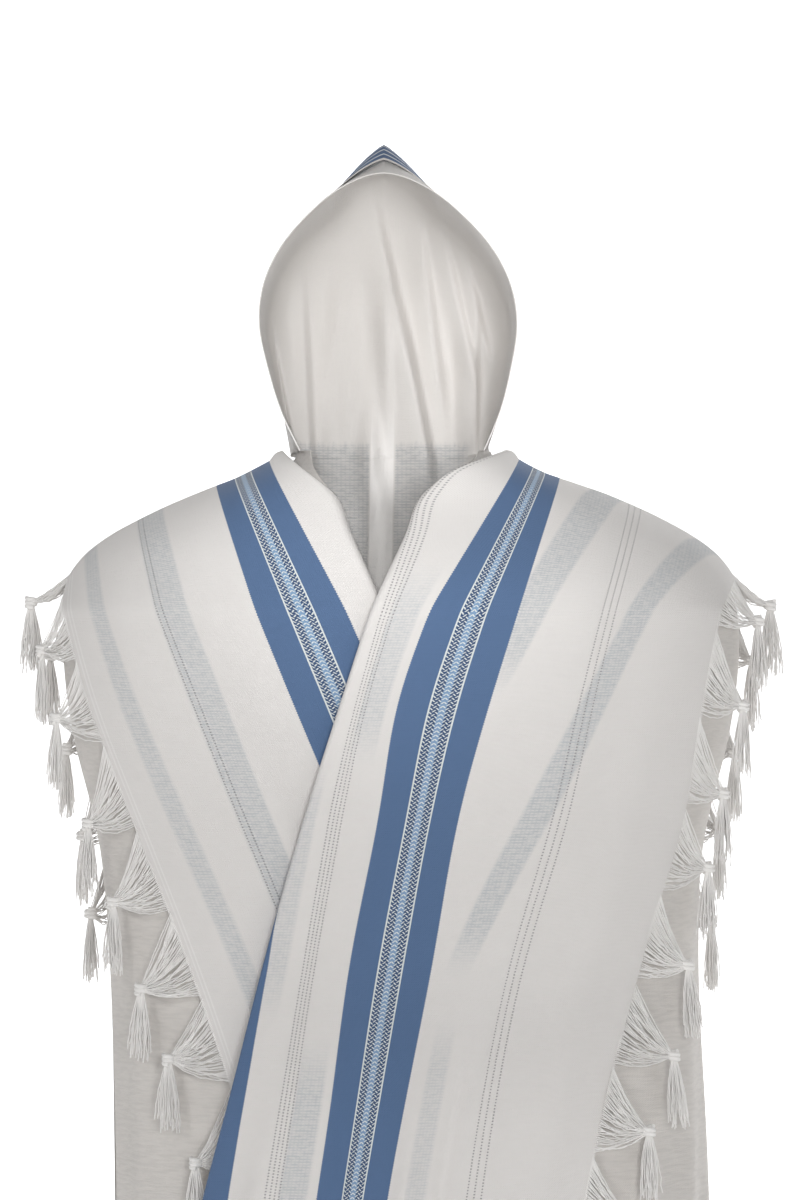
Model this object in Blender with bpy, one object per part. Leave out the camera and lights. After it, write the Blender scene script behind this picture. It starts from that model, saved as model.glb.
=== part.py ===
"""Tallit prayer shawl, worn over the head with each end folded out over its shoulder.

One rectangle of cloth, modelled in the stretches that show. Metres, +Z up. The wearer faces -Y,
with the left arm at +X. The origin is at the crown of the head, under the hood.
"""
import math
from functools import lru_cache

import bmesh
import bpy
import numpy as np
from mathutils import Vector

# Driving dimensions
WALL = 0.0016  # thickness of the cloth
LAYER = 0.008  # from one layer of cloth to the next, middle to middle
SEAM = 0.0006  # half the gap between two stretches at a seam
SQUARENESS = 2.5  # exponent of the sections: 2 is an ellipse, more is boxier
NECK = 0.2668  # drop from the crown to the nape, just below the hood's lower edge
HEM = 1.26  # drop from the crown to the hem
# The left side stands off the right side and its flap, and lower down off their fringe too:
STAND_OFF = (
    # drop_from, drop_full, distance
    (0.300, 0.385, 2 * LAYER),
    (0.700, 0.820, 0.026),
)
ROLL = math.radians(150)  # how far a flap's folded edge turns under
SHOULDER = 0.40  # drop at which the flaps hang free of the shoulder
FRINGE_SPACING = 0.078
FRINGE_PER_SIDE = 17
FRINGE_REACH = 0.042  # from the cloth's edge out to a knot
TASSEL_LENGTH = 0.055
BENT_EDGE = 1.15  # stations either side of the shoulder line where the edge bends
KNOT_CLEAR = 0.011  # from a flap's layer to the middle of the knots over it
TZITZIT_LENGTH = 0.30
TZITZIT_INSET = 0.035  # of a corner tassel from the two edges of its corner

# Sections of the cloth that hangs from the neck: drop below the crown, half width, depth in
# front of and behind the side line, and how far the middle is moved to the wearer's left
SECTIONS = (
    # drop, half_width, front, back, shift
    (0.262, 0.083, 0.084, 0.118, 0.002),
    (0.276, 0.090, 0.086, 0.120, 0.003),
    (0.290, 0.128, 0.090, 0.124, 0.005),
    (0.307, 0.175, 0.096, 0.128, 0.007),
    (0.328, 0.222, 0.104, 0.133, 0.008),
    (0.352, 0.262, 0.112, 0.138, 0.008),
    (0.385, 0.287, 0.121, 0.142, 0.008),
    (0.430, 0.293, 0.130, 0.146, 0.008),
    (0.500, 0.286, 0.139, 0.149, 0.008),
    (0.600, 0.262, 0.143, 0.147, 0.008),
    (0.700, 0.255, 0.143, 0.145, 0.010),
    (0.850, 0.253, 0.142, 0.146, 0.015),
    (1.000, 0.252, 0.142, 0.150, 0.018),
    (1.260, 0.262, 0.146, 0.158, 0.018),
)

# Folds that hang from the shoulders: angle round from the front, angular width, depth, drop
# at which each one starts
HANGING_FOLDS = (
    # angle, width, depth, start
    (12, 7, 0.006, 0.62),
    (62, 9, -0.005, 0.70),
    (88, 8, 0.006, 0.62),
    (112, 9, 0.010, 0.52),
    (134, 8, -0.008, 0.60),
    (152, 9, 0.012, 0.44),
    (176, 10, -0.008, 0.50),
    (-158, 9, 0.011, 0.46),
    (-136, 8, -0.007, 0.64),
    (-114, 10, 0.009, 0.54),
    (-90, 8, 0.005, 0.66),
    (-48, 8, -0.004, 0.74),
)
FOLD_GROWTH = 0.45  # drop over which a hanging fold grows to its full depth

# Arches of the hood, from its rim back to the nape: where each foot stands and its top
ARCHES = (
    # foot_y, top_y, top_z, width_share, ridge
    (-0.056, -0.080, -0.026, 1.000, 0.000),
    (-0.050, -0.056, -0.028, 0.975, 0.014),
    (-0.044, -0.024, -0.030, 0.955, 0.030),
    (-0.034, 0.036, -0.034, 0.950, 0.031),
    (-0.024, 0.084, -0.044, 0.945, 0.016),
    (-0.014, 0.113, -0.083, 0.930, 0.000),
    (-0.004, 0.124, -0.145, 0.920, 0.000),
    (0.006, 0.122, -0.210, 0.930, 0.000),
    (0.012, 0.116, -0.266, 0.985, 0.000),
)
# Outline of an arch: share of its height, half width
OUTLINE = (
    (0.00, 0.083),
    (0.12, 0.095),
    (0.26, 0.105),
    (0.42, 0.112),
    (0.54, 0.111),
    (0.66, 0.104),
    (0.76, 0.092),
    (0.85, 0.073),
    (0.92, 0.052),
    (1.00, 0.036),
)
HOOD_SHIFT = -0.004  # of the hood's middle, fading out down to the neck
RIDGE_HALF = 0.045  # half width of the pointed ridge along the crown
FOOT_Z, CROWN_Z = -0.263, 0.002  # heights of the arches' feet and of the highest point
FOOT_TAPER, FOOT_DEPTH = 0.14, 0.056  # how the feet close in towards the throat

# Creases down the back of the head and the nape, as seen from in front
CREASES = (
    # x_top, z_top, x_low, z_low, half_width, depth
    (-0.008, -0.060, 0.024, -0.200, 0.014, 0.010),
    (0.024, -0.190, 0.044, -0.330, 0.012, 0.009),
    (0.034, -0.070, 0.054, -0.240, 0.012, 0.006),
    (-0.040, -0.110, -0.066, -0.300, 0.014, 0.006),
    (-0.012, -0.240, -0.006, -0.420, 0.010, 0.016),
)

# Where the lines of each flap run, as X at a drop. The lines are the fringed edge, the
# hemstitching, the two edges of the wide band, and the fold.
LINES = ("fringe", "hemstitch", "band_out", "band_in", "fold")
LEFT = {
    "side": 1,
    "ridge": (0.297, 0.210, 0.145, 0.110, 0.103),
    "front": (
        # drop, fringe, hemstitch, band_out, band_in, fold
        (0.40, 0.282, 0.184, 0.107, 0.032, -0.014),
        (0.48, 0.266, 0.164, 0.082, 0.004, -0.040),
        (0.57, 0.251, 0.144, 0.057, -0.010, -0.069),
        (0.70, 0.211, 0.104, 0.034, -0.036, -0.106),
        (0.83, 0.177, 0.077, 0.008, -0.053, -0.139),
        (0.92, 0.158, 0.064, -0.008, -0.067, -0.164),
        (1.10, 0.129, 0.049, -0.021, -0.080, -0.188),
        (1.26, 0.111, 0.042, -0.026, -0.085, -0.198),
    ),
    # share of the way down to the free drop, share of the way across to the fold's line there
    "neckline": ((0.00, 0.00), (0.07, 0.34), (0.20, 0.57), (0.50, 0.74), (1.00, 1.00)),
    "behind": (0.250, 0.190, 0.140, 0.090, 0.050),
    "behind_drop": (0.70, 0.66),
    "overlaps": True,
}
RIGHT = {
    "side": -1,
    "ridge": (-0.281, -0.210, -0.152, -0.106, -0.098),
    "front": (
        (0.40, -0.284, -0.188, -0.116, -0.039, -0.010),
        (0.48, -0.261, -0.155, -0.083, -0.004, 0.020),
        (0.57, -0.225, -0.118, -0.045, 0.030, 0.050),
        (0.70, -0.173, -0.064, 0.005, 0.070, 0.092),
        (0.83, -0.128, -0.026, 0.034, 0.096, 0.120),
        (0.92, -0.102, -0.004, 0.052, 0.110, 0.138),
        (1.10, -0.066, 0.024, 0.076, 0.126, 0.158),
        (1.26, -0.050, 0.036, 0.088, 0.134, 0.168),
    ),
    "neckline": ((0.00, 0.00), (0.14, 0.35), (0.50, 0.66), (0.68, 0.79), (1.00, 1.00)),
    "behind": (-0.240, -0.180, -0.130, -0.080, -0.045),
    "behind_drop": (0.68, 0.65),
    "overlaps": False,
}

# Cross-sections of a fringe tassel, from the cloth's edge out to its ends
TASSEL = (
    # share, width, depth
    (0.00, 0.068, 0.0018),
    (0.45, 0.028, 0.0030),
    (0.80, 0.012, 0.0060),
    (1.00, 0.015, 0.0120),
    (1.22, 0.009, 0.0080),
    (1.80, 0.016, 0.0100),
    (2.50, 0.020, 0.0110),
)


def curve(knots, values, at):
    """A smooth line through the values at the rising knots."""
    knots, values = np.asarray(knots, float), np.asarray(values, float)
    slopes = np.gradient(values, knots)
    last = len(knots) - 2
    i = min(max(int(np.searchsorted(knots, at)) - 1, 0), last)
    span = knots[i + 1] - knots[i]
    s = min(max((at - knots[i]) / span, 0.0), 1.0)
    start = (1 + 2 * s) * (1 - s) ** 2 * values[i] + s * (1 - s) ** 2 * span * slopes[i]
    end = s * s * (3 - 2 * s) * values[i + 1] + s * s * (s - 1) * span * slopes[i + 1]
    return float(start + end)


def ease(at, low, high):
    """0 below low, 1 above high, and a smooth rise between."""
    s = min(max((at - low) / (high - low), 0.0), 1.0)
    return s * s * (3 - 2 * s)


@lru_cache(maxsize=None)
def lifted(lift):
    """Section columns, moved out square to the sloping outline by lift."""
    table = np.array(SECTIONS)
    drops = np.linspace(table[0, 0], table[-1, 0], 240)
    half, front, back, shift = (
        np.array([curve(table[:, 0], table[:, k], drop) for drop in drops]) for k in range(1, 5)
    )
    widening = np.gradient(half, drops)
    length = np.sqrt(1 + widening**2)
    rise = lift * widening / length
    return drops - rise, half + lift / length, front + lift, back + lift, shift


def section(drop, lift):
    drops, *columns = lifted(round(lift, 5))
    return [float(np.interp(drop, drops, column)) for column in columns]


def hanging(drop, turn):
    """How far the hanging folds move the cloth out at an angle round the wearer."""
    total = 0.0
    for angle, width, depth, start in HANGING_FOLDS:
        away = (math.degrees(turn) - angle + 180) % 360 - 180
        total += depth * math.exp(-((away / width) ** 2)) * ease(drop, start, start + FOLD_GROWTH)
    return total


def crease(x, z):
    """How far the creases bring the back of the hood and the nape forward."""
    total = 0.0
    for x_top, z_top, x_low, z_low, half_width, depth in CREASES:
        along = min(max((z_top - z) / (z_top - z_low), -0.5), 1.5)
        fade = ease(along, -0.25, 0.25) * (1 - ease(along, 0.75, 1.25))
        across = (x - x_top - (x_low - x_top) * along) / half_width
        total += depth * fade * math.exp(-across * across)
    return total


def stand_off(drop, overlaps):
    return sum(far * ease(drop, low, high) for low, high, far in STAND_OFF) if overlaps else 0.0


def around(drop, turn, lift=0.0, overlaps=False):
    """Point of the hanging cloth at a drop and an angle, 0 in front and +90 degrees at +X."""
    half, front, back, shift = section(drop, lift)
    across = math.copysign(abs(math.sin(turn)) ** (2 / SQUARENESS), math.sin(turn))
    along = abs(math.cos(turn)) ** (2 / SQUARENESS)
    out = hanging(drop, turn)
    if math.cos(turn) > 0:
        y = -(front + stand_off(drop, overlaps)) * along
    else:
        y = back * along - crease(shift + half * across, -drop) * along
    return Vector(
        (shift + half * across + out * math.sin(turn), y - out * math.cos(turn), -drop)
    )


def turn_at(x, drop, lift, behind=False):
    """Angle at which the cloth of a lift passes X, at a drop."""
    half, _, _, shift = section(drop, lift)
    share = min(max((x - shift) / half, -1.0), 1.0)
    turn = math.asin(math.copysign(abs(share) ** (SQUARENESS / 2), share))
    return math.copysign(math.pi, share) - turn if behind else turn


def shoulder_drop(x, lift):
    """Drop of the shoulder line above X."""
    drops, half, _, _, shift = lifted(round(lift, 5))
    widest = int(np.argmax(half))
    outline = shift + math.copysign(1, x) * half
    reach = np.abs(outline[: widest + 1])
    return float(np.interp(abs(x), np.maximum.accumulate(reach), drops[: widest + 1]))


def across_lines(values, share):
    """Value between the lines of a flap, 0 at the fringed edge and 1 at the fold."""
    return float(np.interp(share * (len(LINES) - 1), range(len(LINES)), values))


def fold_x(flap, way):
    """X of a flap's fold, on the way (0 to 1) from the shoulder line to its free drop."""
    top, free = flap["ridge"][-1], flap["front"][0][-1]
    shares = np.array(flap["neckline"])
    return top + (free - top) * curve(shares[:, 0], shares[:, 1], way)


def flap_spot(flap, station, share, lift):
    """X, drop and side of a flap's point. Station runs -1 behind, 0 on the shoulder line,
    1 at the shoulder drop and 2 at the hem."""
    top = across_lines(flap["ridge"], share)
    ridge = shoulder_drop(top, lift)
    if station < 0:
        way = (-station) ** 1.7
        low = np.interp(share, (0, 1), flap["behind_drop"])
        x = top + (across_lines(flap["behind"], share) - top) * way
        return x, ridge + (low - ridge) * way, True
    front = np.array(flap["front"])
    if station <= 1:
        way = station**2.2
        x = top + (across_lines(front[0, 1:], share) - top) * way
        inner = min(max(share * (len(LINES) - 1) - (len(LINES) - 2), 0.0), 1.0)
        straight = flap["ridge"][-1] + (front[0, -1] - flap["ridge"][-1]) * way
        x += inner * (fold_x(flap, way) - straight)
        return x, ridge + (SHOULDER - ridge) * way, False
    drop = SHOULDER + (HEM - SHOULDER) * (station - 1) ** 1.35
    lines = [curve(front[:, 0], front[:, 1 + k], drop) for k in range(len(LINES))]
    return across_lines(lines, share), drop, False


def flap_point(flap, station, share):
    x, drop, behind = flap_spot(flap, station, share, LAYER)
    return around(drop, turn_at(x, drop, LAYER, behind), LAYER, flap["overlaps"])


def material(name, colour, roughness):
    made = bpy.data.materials.new(name)
    made.use_nodes = True
    shader = made.node_tree.nodes["Principled BSDF"]
    shader.inputs["Base Color"].default_value = (*colour, 1.0)
    shader.inputs["Roughness"].default_value = roughness
    shader.inputs["Metallic"].default_value = 0.0
    return made


def cloth_piece(name, point, rows, columns, look, wall=WALL):
    """A wall of cloth over a grid. Point takes two shares, 0 to 1, down and across."""
    mesh = bpy.data.meshes.new(name)
    grid = bmesh.new()
    bmesh.ops.create_grid(grid, x_segments=columns, y_segments=rows, size=0.5)
    for vertex in grid.verts:
        vertex.co = point(0.5 - vertex.co.y, vertex.co.x + 0.5)
    grid.to_mesh(mesh)
    grid.free()
    mesh.shade_smooth()
    mesh.materials.append(look)
    piece = bpy.data.objects.new(name, mesh)
    bpy.context.collection.objects.link(piece)
    solidify = piece.modifiers.new("wall", "SOLIDIFY")
    solidify.thickness = wall
    solidify.offset = 0.0
    return piece


def hood_point(back_share, across):
    """Point of the hood: 0 at the rim and 1 at the nape, 0 at the right foot and 1 at the left."""
    table = np.array(ARCHES)
    spots = np.linspace(0, 1, len(table))
    foot_y, top_y, top_z, width, ridge = (curve(spots, table[:, k], back_share) for k in range(5))
    outline = np.array(OUTLINE)
    side = 2 * across - 1
    # The angle spaces points evenly along the arch, from the foot to the top.
    height = math.cos(abs(side) * math.pi / 2) ** 0.9
    z = FOOT_Z + (top_z - FOOT_Z) * height
    half = width * curve(outline[:, 0], outline[:, 1], (z - FOOT_Z) / (CROWN_Z - FOOT_Z))
    half *= math.sqrt(1 - height**6) * (1 - FOOT_TAPER * (foot_y / FOOT_DEPTH) ** 2 * (1 - height) ** 3)
    x = math.copysign(half, side) if side else 0.0
    y = foot_y + (top_y - foot_y) * math.sin(height * math.pi / 2)
    z += ridge * max(1 - abs(x) / RIDGE_HALF, 0)
    y -= crease(x, z) * ease(y, 0.02, 0.09)
    return Vector((x + HOOD_SHIFT * height, y, z))


def build_hood(look):
    cloth_piece("hood", hood_point, 16, 20, look)


def build_atara(look):
    """The crown band, made from the hood's points and moved out."""
    first, last, reach, clear = 0.12, 0.32, 0.34, 0.0034

    def point(down, across):
        spot = first + (last - first) * down, 0.5 + (across - 0.5) * 2 * reach
        here = hood_point(*spot)
        back = hood_point(spot[0] + 0.01, spot[1]) - here
        side = hood_point(spot[0], spot[1] + 0.01) - hood_point(spot[0], spot[1] - 0.01)
        return here + side.cross(back).normalized() * clear

    cloth_piece("atara", point, 4, 14, look, wall=0.0010)


def build_back(look):
    def point(down, across):
        drop = NECK + (HEM - NECK) * down**1.8
        turn = math.pi / 2 + math.pi * (1 - across)
        spot = around(drop, turn)
        spot.y = max(spot.y, SEAM)
        return spot

    cloth_piece("back", point, 20, 18, look)


def build_side(name, flap, look):
    """From the seam at the silhouette round to the folded front edge."""
    side = flap["side"]
    edge = 0.003  # clear of the flap's rolled edge

    def point(down, across):
        drop = NECK + 0.001 + (HEM - NECK - 0.001) * down**1.8
        top = shoulder_drop(flap["ridge"][-1], LAYER)
        if drop < SHOULDER:
            inner = fold_x(flap, min(max((drop - top) / (SHOULDER - top), 0.0), 1.0))
        else:
            front = np.array(flap["front"])
            inner = curve(front[:, 0], front[:, -1], drop)
        half, _, _, shift = section(drop, 0.0)
        inner = side * min(side * inner, side * shift + 0.93 * half)
        start = turn_at(inner + side * edge, drop, LAYER)
        turn = start + (side * math.pi / 2 - start) * across
        spot = around(drop, turn, 0.0, flap["overlaps"])
        spot.y = min(spot.y, -SEAM)
        return spot

    cloth_piece(name, point, 20, 13, look)


def build_flap(name, flap, look):
    """A folded-out end, with its rolled edge down to the side panel that it is folded from."""
    roll_columns, rows = 3, 27
    # Shares across, closer together where the cloth turns round the arm.
    flat = np.concatenate((np.linspace(0, 0.25, 4, endpoint=False), np.linspace(0.25, 1, 7)))
    last = len(flat) - 1
    columns = last + roll_columns
    radius = LAYER / 2

    def point(down, across):
        station = 2 - 3 * down if down < 2 / 3 else -(3 * down - 2)
        step = round(across * columns)
        if step <= last:
            return flap_point(flap, station, flat[step])
        under = ROLL * (0.2 + 0.8 * ease(station, 0.40, 0.70))
        roll = under * (step - last) / roll_columns
        lift = LAYER - radius * (1 - math.cos(roll))
        x, drop, behind = flap_spot(flap, station, 1.0, LAYER)
        spot = flap_point(flap, station, 1.0)
        low = around(drop, turn_at(x, drop, LAYER, behind), 0.0, flap["overlaps"])
        inward = spot - flap_point(flap, station, 0.98)
        inward.normalize()
        return low + (spot - low) * (lift / LAYER) + inward * radius * math.sin(roll)

    cloth_piece(name, point, rows, columns, look)


def edge_curve(flap):
    """Stations along the fringed edge, with the length of cloth up to each one."""
    stations = np.linspace(2, -1, 400)
    points = [flap_point(flap, station, 0.0) for station in stations]
    steps = [(b - a).length for a, b in zip(points, points[1:])]
    return stations, np.concatenate(((0,), np.cumsum(steps)))


def tapered(name, loops, look):
    """A closed body through square loops of corners, bridged end to end."""
    body = bmesh.new()
    rings = [[body.verts.new(corner) for corner in loop] for loop in loops]
    for low, high in zip(rings, rings[1:]):
        for k in range(len(low)):
            n = (k + 1) % len(low)
            body.faces.new((low[k], low[n], high[n], high[k]))
    body.faces.new(rings[0])
    body.faces.new(reversed(rings[-1]))
    bmesh.ops.recalc_face_normals(body, faces=body.faces)
    mesh = bpy.data.meshes.new(name)
    body.to_mesh(mesh)
    body.free()
    mesh.materials.append(look)
    piece = bpy.data.objects.new(name, mesh)
    bpy.context.collection.objects.link(piece)


def corners(middle, wide, deep):
    return [middle + wide * a + deep * b for a, b in ((-1, -1), (1, -1), (1, 1), (-1, 1))]


def pushed_out(point, lift, overlaps):
    """The point, moved away from the middle if it lies inside the cloth of a lift."""
    _, _, _, shift = section(-point.z, lift)
    turn = math.atan2(point.x - shift, -point.y)
    half, front, back, shift = section(-point.z, lift + max(hanging(-point.z, turn), 0.0))
    across = (point.x - shift) / half
    deep = front + stand_off(-point.z, overlaps) if point.y < 0 else back
    size = (abs(across) ** SQUARENESS + abs(point.y / deep) ** SQUARENESS) ** (1 / SQUARENESS)
    if size >= 1:
        return point
    out = 1 / max(size, 0.2)
    return Vector((shift + (point.x - shift) * out, point.y * out, point.z))


def build_fringe(name, flap, look):
    """Knotted tassels along a fringed edge, from the hem up and over the shoulder."""
    stations, lengths = edge_curve(flap)
    margin = (lengths[-1] - FRINGE_SPACING * (FRINGE_PER_SIDE - 1)) / 2
    down = Vector((0, 0, -1))
    for index in range(FRINGE_PER_SIDE):
        station = float(np.interp(margin + index * FRINGE_SPACING, lengths, stations))
        edge = flap_point(flap, station, 0.0)
        along = flap_point(flap, station + 0.01, 0.0) - flap_point(flap, station - 0.01, 0.0)
        along.normalize()
        outward = edge - flap_point(flap, station, 0.02)
        outward = (outward - along * outward.dot(along)).normalized()
        bent = abs(station) < BENT_EDGE
        root = edge + outward * (WALL / 2 + SEAM * (5 if bent else 2))
        level = Vector((outward.x, outward.y, 0)).normalized()
        along = along if along.z > 0 else -along
        clear = LAYER + KNOT_CLEAR
        knot = root + level * FRINGE_REACH * 0.8 + down * FRINGE_REACH * 0.6
        knot = pushed_out(knot, clear, flap["overlaps"])
        end = pushed_out(knot + down * TASSEL_LENGTH, clear, flap["overlaps"])
        loops = []
        for share, width, depth in TASSEL:
            if share <= 1:
                middle, path = root.lerp(knot, share), knot - root
            else:
                middle, path = knot.lerp(end, (share - 1) / (TASSEL[-1][0] - 1)), end - knot
            if share > 0:
                off = LAYER + KNOT_CLEAR * ease(share, 0.0, 0.6)
                middle = pushed_out(middle, off, flap["overlaps"])
            path = outward if share == 0 else path.normalized()
            wide = along.lerp(level, min(share / 0.8, 1.0)).normalized()
            wide = (wide - path * wide.dot(path)).normalized()
            deep = wide.cross(path).normalized()
            if share < 0.8 and bent:
                width *= 0.6
            loops.append(corners(middle, wide * width / 2, deep * depth / 2))
        tapered(f"{name}_{index + 1:02d}", loops, look)


def build_tzitzit(name, flap, station, look):
    """A corner tassel: hung through the cloth near a corner, wound above and loose below."""
    behind = station < 0
    x, drop, _ = flap_spot(flap, station, 0.0, LAYER)
    start = drop - TZITZIT_INSET
    lift = LAYER + 0.006
    x -= flap["side"] * TZITZIT_INSET
    loops = []
    # share of the length, width
    for share, width in ((0.0, 0.005), (0.06, 0.008), (0.40, 0.008), (0.48, 0.014), (1.0, 0.020)):
        low = start + TZITZIT_LENGTH * share
        turn = turn_at(x, min(low, HEM), lift, behind)
        spot = around(min(low, HEM), turn, lift, flap["overlaps"])
        spot.z = -low
        loops.append(corners(spot, Vector((width / 2, 0, 0)), Vector((0, 0.003, 0))))
    tapered(name, loops, look)


def main():
    for old in list(bpy.data.objects):
        bpy.data.objects.remove(old, do_unlink=True)
    cloth = material("cloth", (0.72, 0.69, 0.66), 0.85)
    band = material("atara_blue", (0.09, 0.19, 0.36), 0.8)
    yarn = material("fringe_yarn", (0.66, 0.63, 0.60), 0.9)
    build_hood(cloth)
    build_atara(band)
    build_back(cloth)
    for word, flap in (("right", RIGHT), ("left", LEFT)):
        build_side(f"side_{word}", flap, cloth)
        build_flap(f"flap_{word}", flap, cloth)
        build_fringe(f"fringe_{word}", flap, yarn)
        build_tzitzit(f"tzitzit_{word}_front", flap, 2.0, yarn)
        build_tzitzit(f"tzitzit_{word}_back", flap, -1.0, yarn)


main()
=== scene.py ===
import math
import random

import bmesh
import bpy
import numpy as np
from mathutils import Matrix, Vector


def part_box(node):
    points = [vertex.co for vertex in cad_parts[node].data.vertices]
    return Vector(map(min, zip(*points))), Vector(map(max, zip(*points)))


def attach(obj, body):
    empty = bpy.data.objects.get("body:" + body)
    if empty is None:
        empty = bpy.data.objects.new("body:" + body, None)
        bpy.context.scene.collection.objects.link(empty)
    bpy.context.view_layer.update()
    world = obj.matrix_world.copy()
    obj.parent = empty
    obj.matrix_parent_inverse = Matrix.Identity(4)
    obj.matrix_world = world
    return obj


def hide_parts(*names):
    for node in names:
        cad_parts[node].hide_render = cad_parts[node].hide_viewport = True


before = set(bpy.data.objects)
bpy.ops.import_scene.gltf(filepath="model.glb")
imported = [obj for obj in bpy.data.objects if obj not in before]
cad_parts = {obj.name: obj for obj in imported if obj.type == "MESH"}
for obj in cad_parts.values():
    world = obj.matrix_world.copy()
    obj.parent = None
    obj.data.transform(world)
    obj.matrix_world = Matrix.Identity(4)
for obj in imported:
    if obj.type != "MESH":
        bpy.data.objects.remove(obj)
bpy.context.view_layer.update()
print("frame loaded")

# The wearer faces -Y, the wearer's left arm is at +X, and drops are metres below the crown.
form = {
    "squareness": 2.5,  # exponent of the sections round the body
    "layer": 0.008,  # from one layer of cloth to the next
    "backTop": 0.2625,  # drops at which the back and the sides start, just inside the hood
    "sideTop": 0.2630,
    "hem": -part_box("back")[0].z,
    "shoulder": 0.40,  # drop at which the flaps hang free
    "wall": 0.0011,  # thickness of the cloth
    "foldGrowth": 0.45,  # drop over which a hanging fold deepens
    # drop, half width, depth in front, depth behind, shift to the wearer's left
    "sections": (
        (0.262, 0.083, 0.084, 0.118, 0.002),
        (0.276, 0.090, 0.086, 0.120, 0.003),
        (0.290, 0.128, 0.090, 0.124, 0.005),
        (0.307, 0.175, 0.096, 0.128, 0.007),
        (0.328, 0.222, 0.104, 0.133, 0.008),
        (0.352, 0.262, 0.112, 0.138, 0.008),
        (0.385, 0.287, 0.121, 0.142, 0.008),
        (0.430, 0.293, 0.130, 0.146, 0.008),
        (0.500, 0.286, 0.139, 0.149, 0.008),
        (0.600, 0.262, 0.143, 0.147, 0.008),
        (0.700, 0.255, 0.143, 0.145, 0.010),
        (0.850, 0.253, 0.142, 0.146, 0.015),
        (1.000, 0.252, 0.142, 0.150, 0.018),
        (1.260, 0.262, 0.146, 0.158, 0.018),
    ),
    # angle round from the front, angular width, depth, drop where it starts
    "hangingFolds": (
        (12, 7, 0.006, 0.62),
        (62, 9, -0.005, 0.70),
        (88, 8, 0.006, 0.62),
        (112, 9, 0.010, 0.52),
        (134, 8, -0.008, 0.60),
        (152, 9, 0.012, 0.44),
        (176, 10, -0.008, 0.50),
        (-158, 9, 0.011, 0.46),
        (-136, 8, -0.007, 0.64),
        (-114, 10, 0.009, 0.54),
        (-90, 8, 0.005, 0.66),
        (-48, 8, -0.004, 0.74),
    ),
    # the left side stands off the right: drop from, drop full, distance
    "standOff": ((0.300, 0.385, 0.016), (0.700, 0.820, 0.026)),
}

hood = {
    "rows": 150,
    "columns": 200,
    "foot": -0.263,
    "crown": 0.002,
    "taper": 0.10,
    "footDepth": 0.056,
    "shift": -0.007,
    "ridgeHalf": 0.045,
    # foot y, top y, top z, width share, ridge
    "arches": (
        (-0.056, -0.080, -0.026, 1.000, 0.000),
        (-0.050, -0.056, -0.028, 0.975, 0.014),
        (-0.044, -0.024, -0.030, 0.955, 0.030),
        (-0.034, 0.036, -0.034, 0.950, 0.031),
        (-0.024, 0.084, -0.044, 0.945, 0.016),
        (-0.014, 0.113, -0.083, 0.930, 0.000),
        (-0.004, 0.124, -0.145, 0.920, 0.000),
        (0.006, 0.122, -0.210, 0.930, 0.000),
        (0.012, 0.116, -0.266, 0.985, 0.000),
    ),
    # share of the height, half width
    "outline": (
        (0.00, 0.088), (0.12, 0.100), (0.26, 0.108), (0.42, 0.113), (0.54, 0.109),
        (0.66, 0.098), (0.76, 0.084), (0.85, 0.070), (0.92, 0.052), (1.00, 0.036),
    ),
    # folds down the back of the head and nape, as ridges towards the face:
    # top x and z, low x and z, half width to the right and to the left, depth
    "creases": (
        (-0.008, -0.045, 0.024, -0.190, 0.026, 0.0038, 0.017),
        (0.018, -0.150, 0.045, -0.300, 0.024, 0.0036, 0.020),
        (0.032, -0.060, 0.050, -0.215, 0.012, 0.0042, 0.010),
        (-0.040, -0.100, -0.066, -0.300, 0.016, 0.010, 0.009),
        (-0.013, -0.215, -0.006, -0.420, 0.012, 0.0070, 0.019),
        (0.050, -0.060, 0.078, -0.190, 0.013, 0.0038, 0.010),
        (0.068, -0.080, 0.092, -0.180, 0.011, 0.0038, 0.008),
        (0.080, -0.130, 0.078, -0.262, 0.014, 0.0040, 0.012),
        (-0.104, -0.120, -0.078, -0.262, 0.0038, 0.0120, 0.012),
        (-0.074, -0.120, -0.066, -0.290, 0.012, 0.0035, 0.013),
        (-0.052, -0.080, -0.056, -0.230, 0.012, 0.0110, -0.006),
        (-0.026, -0.090, -0.034, -0.250, 0.012, 0.0070, 0.006),
        (0.002, -0.110, 0.004, -0.240, 0.008, 0.0036, 0.007),
        (0.060, -0.150, 0.062, -0.262, 0.006, 0.0060, -0.005),
    ),
}


def smoothLine(knots, values, at):
    # a smooth curve through the knots
    knots, values, at = (np.asarray(a, float) for a in (knots, values, at))
    slopes = np.gradient(values, knots)
    i = np.clip(np.searchsorted(knots, at) - 1, 0, len(knots) - 2)
    span = knots[i + 1] - knots[i]
    s = np.clip((at - knots[i]) / span, 0, 1)
    start = (1 + 2 * s) * (1 - s) ** 2 * values[i] + s * (1 - s) ** 2 * span * slopes[i]
    end = s * s * (3 - 2 * s) * values[i + 1] + s * s * (s - 1) * span * slopes[i + 1]
    return start + end


def ease(at, low, high):
    s = np.clip((np.asarray(at, float) - low) / (high - low), 0, 1)
    return s * s * (3 - 2 * s)


sectionTables = {}


def sectionTable(lift):
    # the body's sections, moved out by the lift
    if lift not in sectionTables:
        table = np.array(form["sections"])
        drops = np.linspace(table[0, 0], table[-1, 0], 240)
        half, front, back, shift = (smoothLine(table[:, 0], table[:, k], drops) for k in range(1, 5))
        widening = np.gradient(half, drops)
        length = np.sqrt(1 + widening**2)
        rise = lift * widening / length
        sectionTables[lift] = drops - rise, half + lift / length, front + lift, back + lift, shift
    return sectionTables[lift]


def sectionAt(drop, lift):
    drops, *columns = sectionTable(lift)
    return [np.interp(drop, drops, column) for column in columns]


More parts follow.
